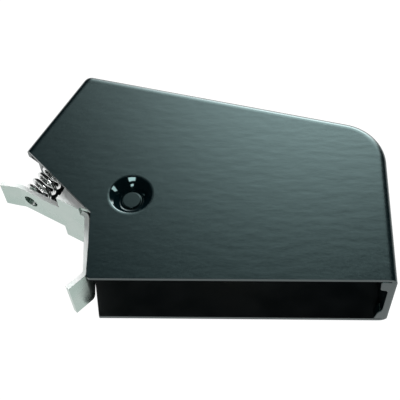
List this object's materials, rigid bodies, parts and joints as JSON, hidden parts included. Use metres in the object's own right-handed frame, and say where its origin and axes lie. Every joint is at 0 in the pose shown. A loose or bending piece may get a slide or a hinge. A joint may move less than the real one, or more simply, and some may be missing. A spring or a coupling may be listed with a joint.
{
  "type": "compact signal horn",
  "caption": "Compact electric signal horn in a folded black steel housing with a wide sound mouth and a sprung, pivoting clip lever.",
  "frame": {"origin": "on the flat back face, at mid width of the sound mouth and 22 mm above the mouth's lower edge", "axes": "+Z out of the front face, +X along the mouth away from the clip lever, -Y out of the sound mouth"},
  "size_m": [0.1027, 0.0642, 0.0233],
  "materials": {
    "painted_steel": "gloss black enamel with orange-peel ripple",
    "zinc_steel": "bright zinc plate",
    "spring_steel": "bright drawn spring steel",
    "brass": "satin brass",
    "silver_contact": "silver alloy",
    "copper_wire": "enamelled copper",
    "phenolic": "brown moulded phenolic",
    "gasket_rubber": "matt rubber",
    "capacitor_sleeve": "shrink sleeve",
    "lead_sleeve": "insulated wire"
  },
  "bodies": {
    "housing": {"face_sheet": "painted_steel", "shoulder_wall": "painted_steel", "top_wall": "painted_steel", "corner_wall": "painted_steel", "right_wall": "painted_steel", "back_plate": "painted_steel", "right_flange": "painted_steel", "top_flange": "painted_steel", "pivot_cup_front": "painted_steel", "pivot_cup_back": "painted_steel", "pivot_pin": "painted_steel", "pivot_spacer": "zinc_steel", "pivot_washer_back": "zinc_steel", "pivot_washer_front": "zinc_steel", "lever_spring": "spring_steel", "spring_seat": "zinc_steel", "spring_spigot": "zinc_steel", "driver_cup": "zinc_steel", "rear_gasket": "gasket_rubber", "diaphragm": "spring_steel", "front_gasket": "gasket_rubber", "clamp_ring": "zinc_steel", "ring_rivets": "brass", "coil_bobbin": "phenolic", "coil_winding": "copper_wire", "pole_core": "spring_steel", "moving_blade_root": "brass", "fixed_blade": "brass", "fixed_contact": "silver_contact", "base_insulator": "phenolic", "mid_insulator": "phenolic", "stack_clamp": "brass", "stack_rivets": "brass", "adjusting_bush": "brass", "terminal_1": "brass", "terminal_2": "brass", "terminal_block": "phenolic", "capacitor": "capacitor_sleeve", "capacitor_clip": "zinc_steel", "lead_coil": "lead_sleeve", "lead_breaker": "lead_sleeve"},
    "clip_lever": {"clip_lever": "zinc_steel"},
    "armature": {"armature": "spring_steel", "tone_disc": "zinc_steel", "armature_nut": "zinc_steel", "pusher_pin": "phenolic"},
    "contact_blade": {"moving_blade": "brass", "moving_contact": "silver_contact"},
    "adjusting_screw": {"adjusting_screw": "zinc_steel"}
  },
  "joints": [
    {"name": "clip_hinge", "type": "hinge", "parent": "housing", "child": "clip_lever", "pos_m": [-0.02811, 0.00212, 0.01162], "axis": [0, 0, -1], "range_deg": [0, 8], "stiffness_Nm_per_rad": 0.9, "springref_deg": -11.46, "deforming": ["lever_spring"]},
    {"name": "armature_stroke", "type": "slide", "parent": "housing", "child": "armature", "axis": [0, 0, -1], "range_m": [0, 0.0004], "stiffness_N_per_m": 15000, "springref_m": -0.0001, "deforming": ["diaphragm"]},
    {"name": "contact_flex", "type": "hinge", "parent": "housing", "child": "contact_blade", "pos_m": [-0.00395, -0.0015, 0.0066], "axis": [0, 1, 0], "range_deg": [0, 11.4]},
    {"name": "adjuster_turn", "type": "hinge", "parent": "housing", "child": "adjusting_screw", "pos_m": [0.0032, -0.0015, 0.002], "axis": [0, 0, 1], "range_deg": [-180, 180]}
  ],
  "couplings": [
    {"joint": "contact_flex", "follows": "armature_stroke", "rad_per_m": 488}
  ]
}
